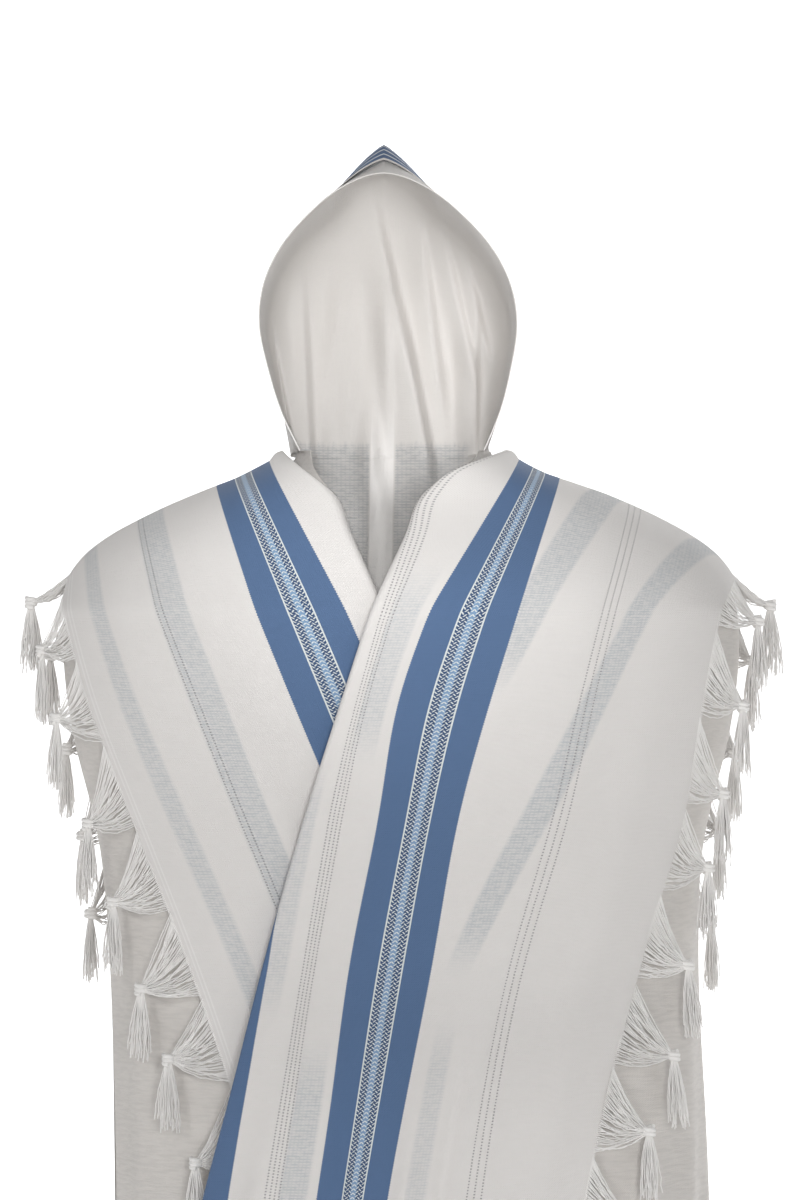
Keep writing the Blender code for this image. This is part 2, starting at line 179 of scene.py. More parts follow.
def hangingOut(drop, turn):
    total = np.zeros(np.broadcast(drop, turn).shape)
    for angle, width, depth, start in form["hangingFolds"]:
        away = (np.degrees(turn) - angle + 180) % 360 - 180
        total += depth * np.exp(-((away / width) ** 2)) * ease(drop, start, start + form["foldGrowth"])
    return total


def creaseForward(x, z):
    # how far the creases at the back of the head stand forward
    total = np.zeros(np.broadcast(x, z).shape)
    for xTop, zTop, xLow, zLow, toRight, toLeft, depth in hood["creases"]:
        along = np.clip((zTop - z) / (zTop - zLow), -0.5, 1.5)
        fade = ease(along, -0.25, 0.45) * (1 - ease(along, 0.80, 1.20))
        across = x - xTop - (xLow - xTop) * along
        total += depth * fade * np.exp(-((across / np.where(across < 0, toRight, toLeft)) ** 2))
    return total


def standOff(drop, overlaps):
    if not overlaps:
        return 0.0
    return sum(far * ease(drop, low, high) for low, high, far in form["standOff"])


def aroundBody(drop, turn, lift=0.0, overlaps=False, out=0.0):
    # points on the worn cloth, at a drop and an angle round from the front
    half, front, back, shift = sectionAt(drop, lift)
    power = 2 / form["squareness"]
    across = np.sign(np.sin(turn)) * np.abs(np.sin(turn)) ** power
    along = np.abs(np.cos(turn)) ** power
    out = out + hangingOut(drop, turn)
    inFront = -(front + standOff(drop, overlaps)) * along
    behind = back * along - creaseForward(shift + half * across, -drop) * along
    y = np.where(np.cos(turn) > 0, inFront, behind)
    return np.stack((shift + half * across + out * np.sin(turn), y - out * np.cos(turn), -drop), 1)


def turnAt(x, drop, lift, behind=False):
    # the angle round the body at which the cloth is at x
    half, _, _, shift = sectionAt(drop, lift)
    share = np.clip((x - shift) / half, -1, 1)
    turn = np.arcsin(np.sign(share) * np.abs(share) ** (form["squareness"] / 2))
    return np.where(behind, np.where(share < 0, -math.pi, math.pi) - turn, turn)


def shoulderDrop(x, lift):
    # drop of the shoulder line at x
    drops, half, _, _, shift = sectionTable(lift)
    widest = int(np.argmax(half)) + 1
    left = np.interp(x, np.maximum.accumulate((shift + half)[:widest]), drops[:widest])
    right = np.interp(-x, np.maximum.accumulate((half - shift)[:widest]), drops[:widest])
    return np.where(np.asarray(x) > 0, left, right)


def gridPiece(name, rows, columns, place, wall=None):
    # place takes shares down and across, and gives points and cloth coordinates
    sheet = bmesh.new()
    bmesh.ops.create_grid(sheet, x_segments=columns, y_segments=rows, size=0.5)
    mesh = bpy.data.meshes.new(name)
    sheet.to_mesh(mesh)
    sheet.free()
    flat = np.zeros(len(mesh.vertices) * 3)
    mesh.vertices.foreach_get("co", flat)
    flat = flat.reshape(-1, 3)
    points, cloth = place(0.5 - flat[:, 1], flat[:, 0] + 0.5)
    mesh.vertices.foreach_set("co", points.ravel())
    corner = np.zeros(len(mesh.loops), int)
    mesh.loops.foreach_get("vertex_index", corner)
    mesh.uv_layers.new(name="cloth").data.foreach_set("uv", cloth[corner].ravel())
    mesh.shade_smooth()
    piece = bpy.data.objects.new(name, mesh)
    bpy.context.collection.objects.link(piece)
    solidify = piece.modifiers.new("wall", "SOLIDIFY")
    solidify.thickness = wall or form["wall"]
    solidify.offset = 0
    piece.modifiers.new("normals", "WEIGHTED_NORMAL").keep_sharp = False
    return piece


def smoothedRun(points, rows, columns, times):
    # evens out the cloth from row to row
    run = points.reshape(rows + 1, columns + 1, 3)
    for _ in range(times):
        run[1:-1] = run[:-2] / 4 + run[1:-1] / 2 + run[2:] / 4
    return run.reshape(-1, 3)


def dents(u, v, table):
    # soft troughs and ridges in cloth coordinates: start, end, half width, depth
    total = np.zeros(u.shape)
    for uStart, vStart, uEnd, vEnd, halfWidth, depth in table:
        du, dv = uEnd - uStart, vEnd - vStart
        along = np.clip(((u - uStart) * du + (v - vStart) * dv) / (du * du + dv * dv), 0, 1)
        far = np.hypot(u - uStart - du * along, v - vStart - dv * along)
        fade = np.sin(math.pi * np.clip(along, 0.02, 0.98)) ** 0.5
        total += depth * fade * np.exp(-((far / halfWidth) ** 2))
    return total


# Flaps: where their lines run, as x at a drop, and where they lie in the cloth.
flaps = {
    "left": {
        "side": 1,
        "overlaps": True,
        "rows": 250,
        "columns": 84,
        "ridge": (0.297, 0.210, 0.145, 0.110, 0.103),
        "front": (
            (0.40, 0.282, 0.184, 0.107, 0.032, -0.014),
            (0.48, 0.266, 0.164, 0.082, 0.004, -0.040),
            (0.57, 0.251, 0.144, 0.057, -0.010, -0.069),
            (0.70, 0.211, 0.104, 0.034, -0.036, -0.106),
            (0.83, 0.177, 0.077, 0.008, -0.053, -0.139),
            (0.92, 0.158, 0.064, -0.008, -0.067, -0.164),
            (1.10, 0.129, 0.049, -0.021, -0.080, -0.188),
            (1.26, 0.111, 0.042, -0.026, -0.085, -0.198),
        ),
        "neckline": ((0.00, 0.00), (0.07, 0.34), (0.20, 0.57), (0.50, 0.74), (1.00, 1.00)),
        "behind": (0.250, 0.190, 0.140, 0.090, 0.050),
        "behindDrop": (0.70, 0.66),
        # distance of the fold from the fringed edge, in the cloth, at each drop
        "foldAt": (
            (0.26, 0.275), (0.40, 0.292), (0.57, 0.303), (0.70, 0.318),
            (0.83, 0.328), (0.92, 0.337), (1.26, 0.345),
        ),
        "dents": (
            (0.130, 0.02, 0.115, 0.30, 0.016, 0.003),
            (0.060, 0.05, 0.070, 0.42, 0.018, -0.003),
            (0.165, 0.62, 0.150, 0.98, 0.009, 0.008),
            (0.128, 0.60, 0.122, 0.98, 0.009, -0.008),
            (0.095, 0.66, 0.085, 0.98, 0.010, 0.006),
            (0.232, 0.60, 0.215, 0.98, 0.012, -0.005),
            (0.290, 0.62, 0.300, 0.98, 0.010, 0.006),
            (0.045, 0.30, 0.040, 0.80, 0.014, 0.003),
            (0.270, 0.30, 0.300, 0.80, 0.010, -0.002),
            (0.180, 0.20, 0.240, 0.55, 0.020, 0.003),
        ),
    },
    "right": {
        "side": -1,
        "overlaps": False,
        "rows": 250,
        "columns": 84,
        "ridge": (-0.281, -0.210, -0.152, -0.106, -0.098),
        "front": (
            (0.40, -0.284, -0.188, -0.116, -0.039, -0.010),
            (0.48, -0.261, -0.155, -0.083, -0.004, 0.020),
            (0.57, -0.225, -0.118, -0.045, 0.030, 0.050),
            (0.70, -0.173, -0.064, 0.005, 0.070, 0.092),
            (0.83, -0.128, -0.026, 0.034, 0.096, 0.120),
            (0.92, -0.102, -0.004, 0.052, 0.110, 0.138),
            (1.10, -0.066, 0.024, 0.076, 0.126, 0.158),
            (1.26, -0.050, 0.036, 0.088, 0.134, 0.168),
        ),
        "neckline": ((0.00, 0.00), (0.14, 0.35), (0.50, 0.66), (0.68, 0.79), (1.00, 1.00)),
        "behind": (-0.240, -0.180, -0.130, -0.080, -0.045),
        "behindDrop": (0.68, 0.65),
        "foldAt": ((0.26, 0.262), (0.40, 0.268), (0.57, 0.300), (1.26, 0.330)),
        "dents": (
            (0.005, 0.34, 0.110, 0.30, 0.006, -0.0025),
            (0.060, 0.03, 0.050, 0.36, 0.016, 0.003),
            (0.150, 0.03, 0.140, 0.34, 0.018, -0.003),
            (0.030, 0.25, 0.040, 0.60, 0.014, 0.003),
            (0.120, 0.30, 0.125, 0.60, 0.014, 0.003),
        ),
    },
}
clothLines = (0.0, 0.098, 0.174, 0.246)  # distances of a flap's lines from its fringed edge
lineCount = 5


def acrossLines(values, share):
    return np.interp(share * (lineCount - 1), range(lineCount), values)


def flapSpot(flap, station, share, lift):
    # stations run -1 at the end behind, 0 on the shoulder, 1 at the free drop and 2 at the hem
    top = acrossLines(flap["ridge"], share)
    ridge = shoulderDrop(top, lift)
    back = np.clip(-station, 0, 1) ** 1.7
    low = np.interp(share, (0, 1), flap["behindDrop"])
    xBack, dropBack = top + (acrossLines(flap["behind"], share) - top) * back, ridge + (low - ridge) * back
    front = np.array(flap["front"])
    way = np.clip(station, 0, 1) ** 2.2
    free = acrossLines(front[0, 1:], share)
    shares = np.array(flap["neckline"])
    curved = smoothLine(shares[:, 0], shares[:, 1], way)
    inner = np.clip(share * (lineCount - 1) - (lineCount - 2), 0, 1)
    xTop = top + (free - top) * way + inner * (front[0, -1] - flap["ridge"][-1]) * (curved - way)
    dropTop = ridge + (form["shoulder"] - ridge) * way
    dropLow = form["shoulder"] + (form["hem"] - form["shoulder"]) * np.clip(station - 1, 0, 1) ** 1.35
    lines = np.stack([smoothLine(front[:, 0], front[:, 1 + k], dropLow) for k in range(lineCount)], -1)
    place = np.clip(share * (lineCount - 1), 0, lineCount - 1)
    i = np.minimum(place.astype(int), lineCount - 2)
    rest = place - i
    rows = np.arange(len(i))
    xLow = lines[rows, i] * (1 - rest) + lines[rows, i + 1] * rest
    behind, upper = station < 0, station <= 1
    x = np.where(behind, xBack, np.where(upper, xTop, xLow))
    return x, np.where(behind, dropBack, np.where(upper, dropTop, dropLow)), behind


def flapPoint(flap, station, share, lift, out=0.0):
    x, drop, behind = flapSpot(flap, station, share, lift)
    return aroundBody(drop, turnAt(x, drop, lift, behind), lift, flap["overlaps"], out)


def flapCloth(flap, station, share):
    # distance from the fringed edge, and distance down from the shoulder, in the flat cloth
    stations = np.linspace(-1, 2, 600)
    run = flapPoint(flap, stations, np.full(600, 0.62), form["layer"])
    length = np.concatenate(((0,), np.cumsum(np.linalg.norm(np.diff(run, axis=0), axis=1))))
    v = np.interp(station, stations, length) - np.interp(0, stations, length)
    drop = flapSpot(flap, station, np.ones_like(share), form["layer"])[1]
    drops, folds = np.array(flap["foldAt"]).T
    fold = np.where(station < 0, folds[0], np.interp(drop, drops, folds))
    place = share * (lineCount - 1)
    u = np.interp(place, range(lineCount - 1), clothLines)
    last = np.clip(place - (lineCount - 2), 0, 1)
    return u + last * (fold - clothLines[-1]), v


def makeFlap(word):
    flap = flaps[word]
    layer, radius, turnUnder = form["layer"], form["layer"] / 2, math.radians(165)
    flatShare = 0.93  # of the columns, the rest are the rolled edge

    def place(down, across):
        station = 2 - 3 * down  # from the hem up to the end behind
        share = np.clip(across / flatShare, 0, 1)
        u, v = flapCloth(flap, station, share)
        out = dents(u, v, flap["dents"]) * ease(share, 0, 0.04) * (1 - ease(share, 0.93, 1))
        points = flapPoint(flap, station, share, layer, out)
        x, drop, behind = flapSpot(flap, station, share, layer)
        low = aroundBody(drop, turnAt(x, drop, layer, behind), 0.0, flap["overlaps"])
        inward = points - flapPoint(flap, station, share * 0.98, layer)
        inward /= np.linalg.norm(inward, axis=1)[:, None] + 1e-9
        under = turnUnder * (0.2 + 0.8 * ease(station, 0.40, 0.70))
        roll = under * np.clip((across - flatShare) / (1 - flatShare), 0, 1)
        lowered = (radius * (1 - np.cos(roll)) / layer)[:, None]
        points = points + (low - points) * lowered + inward * (radius * np.sin(roll))[:, None]
        points[:, 2] += 0.010 * np.exp(-((station / 0.30) ** 2)) * ease(share, 0.55, 0.95)
        points = smoothedRun(points, flap["rows"], flap["columns"], 16)
        return points, np.stack((u + radius * roll, v), 1)

    return gridPiece("flap" + word.capitalize(), flap["rows"], flap["columns"], place)


def hoodPoint(backShare, across):
    # arches over the head, from the face to the nape
    table = np.array(hood["arches"])
    spots = np.linspace(0, 1, len(table))
    footY, topY, topZ, width, ridge = (smoothLine(spots, table[:, k], backShare) for k in range(5))
    outline = np.array(hood["outline"])
    side = 2 * across - 1
    height = np.clip(np.cos(np.abs(side) * math.pi / 2), 0, 1) ** 0.9
    z = hood["foot"] + (topZ - hood["foot"]) * height
    share = (z - hood["foot"]) / (hood["crown"] - hood["foot"])
    half = width * smoothLine(outline[:, 0], outline[:, 1], share) * np.sqrt(1 - height**6)
    half = half * (1 - hood["taper"] * (footY / hood["footDepth"]) ** 2 * (1 - height) ** 3)
    x = np.sign(side) * half
    y = footY + (topY - footY) * np.sin(height * math.pi / 2)
    z = z + ridge * np.clip(1 - np.abs(x) / hood["ridgeHalf"], 0, None)
    y = y - creaseForward(x, z) * ease(y, 0.02, 0.09)
    return np.stack((x + hood["shift"] * height, y, z), 1)


def makeHood():
    def place(down, across):
        points = hoodPoint(down, across)
        u, v = (across - 0.5) * 0.62, down * 0.40
        sag = 0.0025 * np.sin(across * 23) * ease(down, 0, 0.1) * (1 - ease(down, 0.1, 0.5))
        points[:, 2] += sag * (1 - ease(np.abs(across - 0.5), 0.3, 0.45))
        return points, np.stack((u, v), 1)

    return gridPiece("hoodCloth", hood["rows"], hood["columns"], place)


atara = {
    "first": 0.12,  # where it lies, as shares of the hood from front to back
    "last": 0.32,
    "reach": 0.34,  # share of the hood's width on each side
    "clear": 0.0022,
    "wall": 0.0009,
    "lines": (0.012, 0.022, 0.032, 0.050),  # fine pale lines, from the front edge
    "lineWidth": 0.0022,
    "pale": (0.72, 0.76, 0.78),
}


def makeAtara():
    def place(down, across):
        back = atara["first"] + (atara["last"] - atara["first"]) * down
        spot = 0.5 + (across - 0.5) * 2 * atara["reach"]
        here = hoodPoint(back, spot)
        toBack = hoodPoint(back + 0.01, spot) - here
        toSide = hoodPoint(back, spot + 0.01) - hoodPoint(back, spot - 0.01)
        out = np.cross(toSide, toBack)
        out /= np.linalg.norm(out, axis=1)[:, None]
        return here + out * atara["clear"], np.stack(((across - 0.5) * 0.4, down * 0.062), 1)

    return gridPiece("ataraBand", 14, 90, place, atara["wall"])


def makeBack():
    def place(down, across):
        top = form["backTop"]
        drop = top + (form["hem"] - top) * down**1.3
        turn = math.pi / 2 + math.pi * (1 - across)
        out = 0.0025 * np.sin(turn * 17 + drop * 3) * ease(drop, 0.5, 1.1)
        points = aroundBody(drop, turn, out=out)
        nape = hoodPoint(np.ones(81), np.linspace(0.02, 0.98, 81))
        joined = np.interp(points[:, 0], nape[:, 0], nape[:, 1]) + 0.0007
        near = (1 - ease(drop, 0.266, 0.32)) * (1 - ease(np.abs(points[:, 0]), 0.066, 0.080))
        points[:, 1] = np.maximum(points[:, 1] + (joined - points[:, 1]) * near, 0.0004)
        return points, np.stack((0.62 + (across - 0.5) * 0.62, drop), 1)

    return gridPiece("backCloth", 150, 130, place)


def makeSide(word):
    flap = flaps[word]
    side = flap["side"]
    front = np.array(flap["front"])
    shares = np.array(flap["neckline"])

    def place(down, across):
        drop = form["sideTop"] + (form["hem"] - form["sideTop"]) * down**1.3
        top = float(shoulderDrop(flap["ridge"][-1], form["layer"]))
        way = np.clip((drop - top) / (form["shoulder"] - top), 0, 1)
        ridge = flap["ridge"][-1]
        curved = ridge + (front[0, -1] - ridge) * smoothLine(shares[:, 0], shares[:, 1], way)
        inner = np.where(drop < form["shoulder"], curved, smoothLine(front[:, 0], front[:, -1], drop))
        half, _, _, shift = sectionAt(drop, 0.0)
        inner = side * np.minimum(side * inner, side * shift + 0.93 * half)
        start = turnAt(inner + side * 0.0015, drop, form["layer"])
        turn = start + (side * math.pi / 2 - start) * across
        out = 0.0022 * np.sin(turn * 19 + drop * 4) * ease(drop, 0.55, 1.0) * ease(across, 0.45, 0.7)
        points = aroundBody(drop, turn, 0.0, flap["overlaps"], out)
        points[:, 1] = np.minimum(points[:, 1], -0.0004)
        drops, folds = np.array(flap["foldAt"]).T
        u = np.interp(drop, drops, folds) + 0.012 + across * (0.27 + 0.10 * ease(drop, 0.3, 0.5))
        return smoothedRun(points, 150, 110, 10), np.stack((u, drop - 0.30), 1)

    return gridPiece("side" + word.capitalize(), 150, 110, place)


class Graph:
    # a material's nodes, wired by short calls
    def __init__(self, name):
        self.material = bpy.data.materials.new(name)
        self.material.use_nodes = True
        self.tree = self.material.node_tree
        self.shader = self.tree.nodes["Principled BSDF"]

    def add(self, kind, **settings):
        node = self.tree.nodes.new(kind)
        for key, value in settings.items():
            setattr(node, key, value)
        return node

    def feed(self, socket, value):
        if isinstance(value, bpy.types.NodeSocket):
            self.tree.links.new(value, socket)
        else:
            socket.default_value = value

    def math(self, operation, *values):
        node = self.add("ShaderNodeMath", operation=operation)
        for socket, value in zip(node.inputs, values):
            self.feed(socket, value)
        return node.outputs[0]

    def plus(self, a, b):
        return self.math("ADD", a, b)

    def minus(self, a, b):
        return self.math("SUBTRACT", a, b)

    def times(self, a, b):
        return self.math("MULTIPLY", a, b)

    def most(self, a, b):
        return self.math("MAXIMUM", a, b)

    def rise(self, value, low, high):
        node = self.add("ShaderNodeMapRange", interpolation_type="SMOOTHSTEP")
        for socket, number in zip(node.inputs, (value, low, high, 0.0, 1.0)):
            self.feed(socket, number)
        return node.outputs[0]

    def between(self, value, low, high, soft=0.0005):
        above = self.rise(value, low - soft, low + soft)
        return self.times(above, self.minus(1.0, self.rise(value, high - soft, high + soft)))

    def wave(self, value, pitch):
        return self.math("SINE", self.times(value, 2 * math.pi / pitch))

    def noise(self, vector, scale, detail=2.0):
        node = self.add("ShaderNodeTexNoise")
        self.feed(node.inputs["Vector"], vector)
        node.inputs["Scale"].default_value = scale
        node.inputs["Detail"].default_value = detail
        return node.outputs["Fac"]

    def mix(self, share, first, second):
        node = self.add("ShaderNodeMix", data_type="RGBA")
        self.feed(node.inputs[0], share)
        for socket, colour in ((node.inputs[6], first), (node.inputs[7], second)):
            self.feed(socket, colour if isinstance(colour, bpy.types.NodeSocket) else (*colour, 1.0))
        return node.outputs[2]

    def join(self, x, y, z=0.0):
        node = self.add("ShaderNodeCombineXYZ")
        for socket, value in zip(node.inputs, (x, y, z)):
            self.feed(socket, value)
        return node.outputs[0]

    def clothSpot(self):
        split = self.add("ShaderNodeSeparateXYZ")
        self.feed(split.inputs[0], self.add("ShaderNodeUVMap", uv_map="cloth").outputs[0])
        return split.outputs[0], split.outputs[1]

    def bump(self, height, distance, strength=1.0):
        node = self.add("ShaderNodeBump")
        self.feed(node.inputs["Height"], height)
        node.inputs["Distance"].default_value = distance
        node.inputs["Strength"].default_value = strength
        self.feed(self.shader.inputs["Normal"], node.outputs[0])


clothLook = {
    "white": (0.80, 0.775, 0.755),
    "shaded": (0.500, 0.525, 0.545),
    "blue": (0.102, 0.172, 0.312),
    "deepBlue": (0.050, 0.092, 0.190),
    "midBlue": (0.230, 0.360, 0.540),
    "roughness": 0.88,
    "sheen": 0.12,
    "thread": 0.0016,  # pitch of the weave
    "bump": 0.0004,
    "band": (0.174, 0.246),  # the wide band, from the fringed edge
    "secondBand": (0.316, 0.388),
    "figured": 0.0225,  # width of a band's figured middle
    "whitePick": (0.72, 0.76, 0.76),
    "edgeCords": (0.0045, 0.0075),  # raised cords near the fringed edge
    "cord": (0.84, 0.82, 0.80),
    "hole": (0.24, 0.23, 0.24),  # painted shade of the layer behind, seen through the hemstitching
    # slanting white picks of the figure: distance from the band's middle, sway, start
    "picks": (
        (0.0010, 1.1, 0.0),
        (0.0037, 1.1, 0.0018),
        (0.0062, 1.1, 0.0),
        (0.0087, 1.1, 0.0018),
    ),
}


def weave(g, u, v, pitch):
    threads = g.times(g.wave(u, pitch), g.wave(v, pitch))
    slub = g.noise(g.join(g.times(u, 60.0), g.times(v, 900.0)), 1.0)
    cross = g.noise(g.join(g.times(u, 900.0), g.times(v, 60.0)), 1.0)
    return g.plus(g.times(threads, 0.35), g.plus(slub, cross))


def finishCloth(g, colour, height, look=clothLook):
    g.feed(g.shader.inputs["Base Color"], colour)
    g.shader.inputs["Roughness"].default_value = look["roughness"]
    g.shader.inputs["Sheen Weight"].default_value = look["sheen"]
    g.shader.inputs["Sheen Roughness"].default_value = 0.5
    g.shader.inputs["Specular IOR Level"].default_value = 0.25
    g.bump(height, look["bump"], 0.8)
    return g.material


def stitchRows(g, u, v, middle, gap, count, pitch=0.0026):
    # rows of small holes of hemstitching
    total = 0.0
    for k in range(count):
        row = middle + (k - (count - 1) / 2) * gap
        near = g.between(u, row - 0.0006, row + 0.0006, 0.0003)
        dots = g.rise(g.wave(g.plus(v, 0.0006 * k), pitch), 0.05, 0.6)
        total = g.times(near, dots) if k == 0 else g.most(total, g.times(near, dots))
    return total


def wideBand(g, colour, u, v, low, high):
    look = clothLook
    jag = g.times(g.wave(v, 0.0021), 0.00035)
    edge = g.plus(u, jag)
    colour = g.mix(g.between(edge, low, high, 0.0003), colour, look["blue"])
    middle = (low + high) / 2
    inside = g.between(u, middle - look["figured"] / 2, middle + look["figured"] / 2, 0.0002)
    away = g.math("ABSOLUTE", g.minus(u, middle))
    wander = g.minus(g.math("PINGPONG", v, 0.0018), 0.0009)
    figure = g.mix(g.rise(away, 0.0026, 0.0034), look["midBlue"], look["deepBlue"])
    for place, sway, start in look["picks"]:
        far = g.math("ABSOLUTE", g.minus(g.minus(away, place), g.times(wander, sway)))
        dash = g.rise(g.wave(g.plus(v, start), 0.0036), -0.45, 0.25)
        figure = g.mix(g.times(g.minus(1.0, g.rise(far, 0.0005, 0.0009)), dash), figure, look["whitePick"])
    figure = g.mix(g.between(away, 0.0098, 0.0113, 0.0002), figure, look["whitePick"])
    return g.mix(inside, colour, figure)


def openwork(g, u, v):
    # crossing threads of a thinner weave
    rungs = g.rise(g.wave(v, 0.0024), -0.4, 0.7)
    posts = g.rise(g.wave(u, 0.0031), -0.2, 0.8)
    patchy = g.rise(g.noise(g.join(g.times(u, 160.0), g.times(v, 420.0)), 1.0), 0.35, 0.62)
    net = g.plus(0.45, g.times(g.most(rungs, g.times(posts, 0.6)), 0.55))
    return g.times(net, g.plus(0.55, g.times(patchy, 0.45)))


# grey stripes of a flap, of thinner weave and of the under layer's stripes showing through, painted with
# the shade of the layer beneath: middle, lean along the cloth, half width, from, to, strength
shadedThroughStripes = {
    "left": (
        (0.117, 0.215, 0.0155, -0.02, 0.28, 0.90),
        (0.013, 0.255, 0.0115, -0.01, 0.52, 0.90),
        (0.150, 0.00, 0.0090, 0.60, 1.20, 0.55),
        (0.262, 0.02, 0.0120, 0.20, 0.34, 0.70),
        (0.300, 0.02, 0.0110, 0.38, 0.56, 0.60),
        (0.258, 0.01, 0.0110, 0.62, 1.20, 0.80),
    ),
    "right": (
        (0.099, 0.00, 0.0145, -0.05, 1.20, 0.85),
        (0.027, 0.03, 0.0075, -0.05, 1.20, 0.75),
    ),
}


def flapLook(word):
    look = clothLook
    g = Graph("tallitCloth" + word.capitalize())
    u, v = g.clothSpot()
    cloud = g.noise(g.join(g.times(u, 14.0), g.times(v, 14.0)), 1.0)
    base = g.mix(cloud, look["white"], tuple(c * 0.955 for c in look["white"]))
    stripeShade = 0.0
    for index, (middle, lean, half, start, end, strength) in enumerate(shadedThroughStripes[word]):
        off = g.math("ABSOLUTE", g.minus(u, g.plus(middle, g.times(v, lean))))
        stripe = g.times(g.minus(1.0, g.rise(off, half - 0.0025, half + 0.0025)), strength)
        stripe = g.times(stripe, g.between(v, start, end, 0.03))
        stripeShade = stripe if index == 0 else g.most(stripeShade, stripe)
    # painted shade: the stripes take the grey of the shaded layer beneath, broken by the openwork
    colour = g.mix(g.times(stripeShade, openwork(g, u, v)), base, look["shaded"])
    colour = wideBand(g, colour, u, v, *look["band"])
    colour = wideBand(g, colour, u, v, *look["secondBand"])
    holes = stitchRows(g, u, v, 0.281, 0.0034, 4)
    if word == "left":
        holes = g.most(holes, stitchRows(g, u, v, 0.098, 0.0058, 3))
    else:
        holes = g.most(holes, stitchRows(g, u, v, 0.088, 0.0052, 2))
        for line in look["edgeCords"]:
            colour = g.mix(g.between(u, line, line + 0.0012, 0.0003), colour, look["cord"])
    # painted shade in the hemstitch holes
    colour = g.mix(g.times(holes, 0.75), colour, look["hole"])
    return finishCloth(g, colour, g.minus(weave(g, u, v, look["thread"]), g.times(holes, 1.5)))


def plainLook(name, tint, ribs=0.0):
    g = Graph(name)
    u, v = g.clothSpot()
    cloud = g.noise(g.join(g.times(u, 9.0), g.times(v, 9.0)), 1.0)
    colour = g.mix(cloud, tint, tuple(c * 0.94 for c in tint))
    height = weave(g, u, v, clothLook["thread"])
    if ribs:
        rough = g.noise(g.join(g.times(u, 45.0), g.times(v, 330.0)), 1.0, 3.0)
        height = g.plus(height, g.times(rough, ribs * 4))
        colour = g.mix(g.times(g.rise(rough, 0.42, 0.62), ribs), colour, tuple(c * 0.86 for c in tint))
    return finishCloth(g, colour, height)


nape = {
    "tint": (0.80, 0.775, 0.75),
    "pleatPaintedLight": (0.94, 0.92, 0.90),  # painted light: whiter than the cloth, to brighten the pleat in the shade of the V
    # painted shade: the grey of the openwork squares at the back of the neck
    "netShadeTint": (0.53, 0.535, 0.54),
    "pleatAt": -0.0085,  # x of the pleat's middle
    "pleatHalf": 0.0115,
    "netReach": 0.076,
    "netDrops": (0.254, 0.42),
}


def napeLook(word):
    # openwork squares each side of a pleat without openwork, over the nape and the top of the back; the
    # squares are grey with painted shade and the pleat is whitened with painted light
    g = Graph("tallitCloth" + word)
    u, v = g.clothSpot()
    spot = g.add("ShaderNodeSeparateXYZ")
    g.feed(spot.inputs[0], g.add("ShaderNodeTexCoord").outputs["Object"])
    x, y, z = spot.outputs
    tint, half, reach = nape["tint"], nape["pleatHalf"], nape["netReach"]
    top, low = nape["netDrops"]
    cloud = g.noise(g.join(g.times(u, 9.0), g.times(v, 9.0)), 1.0)
    colour = g.mix(cloud, tint, tuple(c * 0.95 for c in tint))
    ragged = g.times(g.minus(g.noise(g.join(g.times(x, 300.0), 0.0), 1.0, 4.0), 0.5), 0.012)
    beside = g.math("ABSOLUTE", g.plus(x, g.plus(-nape["pleatAt"], g.times(g.plus(z, 0.25), -0.02))))
    inside = g.rise(y, 0.03, 0.05)
    shadedPatch = g.times(g.rise(beside, half - 0.001, half + 0.001), inside)
    shadedPatch = g.times(shadedPatch, g.between(g.plus(z, ragged), -low, -top, 0.004))
    shadedPatch = g.times(shadedPatch, g.minus(1.0, g.rise(beside, reach - 0.006, reach + 0.006)))
    net = openwork(g, g.times(x, 0.8), z)
    # painted light on the pleat, below the hood
    pleat = g.times(g.minus(1.0, g.rise(beside, half - 0.002, half - 0.0005)), inside)
    pleat = g.times(pleat, g.minus(1.0, g.rise(z, -0.27, -0.21)))
    colour = g.mix(pleat, colour, nape["pleatPaintedLight"])
    # painted shade over the openwork squares
    colour = g.mix(g.times(shadedPatch, net), colour, nape["netShadeTint"])
    height = g.minus(weave(g, u, v, clothLook["thread"]), g.times(g.times(shadedPatch, net), 1.2))
    return finishCloth(g, colour, height)


def ataraLook():
    g = Graph("ataraWeave")
    u, v = g.clothSpot()
    streaks = g.noise(g.join(g.times(u, 30.0), g.times(v, 300.0)), 1.0)
    colour = g.mix(streaks, clothLook["blue"], clothLook["deepBlue"])
    for line in atara["lines"]:
        colour = g.mix(g.between(v, line, line + atara["lineWidth"], 0.0003), colour, atara["pale"])
    colour = g.mix(g.rise(v, 0.0565, 0.058), colour, clothLook["white"])
    colour = g.mix(g.minus(1.0, g.rise(v, 0.003, 0.004)), colour, clothLook["white"])
    return finishCloth(g, colour, weave(g, u, v, 0.0014))


def yarnLook():
    g = Graph("fringeYarn")
    place = g.add("ShaderNodeTexCoord").outputs["Object"]
    tone = g.noise(place, 90.0)
    colour = g.mix(tone, fringe["light"], fringe["dark"])
    g.feed(g.shader.inputs["Base Color"], colour)
    g.shader.inputs["Roughness"].default_value = 0.9
    g.shader.inputs["Sheen Weight"].default_value = 0.2
    g.shader.inputs["Specular IOR Level"].default_value = 0.2
    g.bump(g.noise(place, 1400.0, 1.0), 0.0003)
    return g.material


fringe = {
    "spacing": 0.078,
    "perSide": 17,
    "reach": 0.042,
    "tassel": 0.055,
    "knotClear": 0.011,
    "fanYarns": 46,
    "tasselYarns": 44,
    "yarn": 0.00055,  # radius
    "knotYarn": 0.0021,
    "light": (0.95, 0.935, 0.915),
    "dark": (0.87, 0.85, 0.83),
    "seed": 7,
}


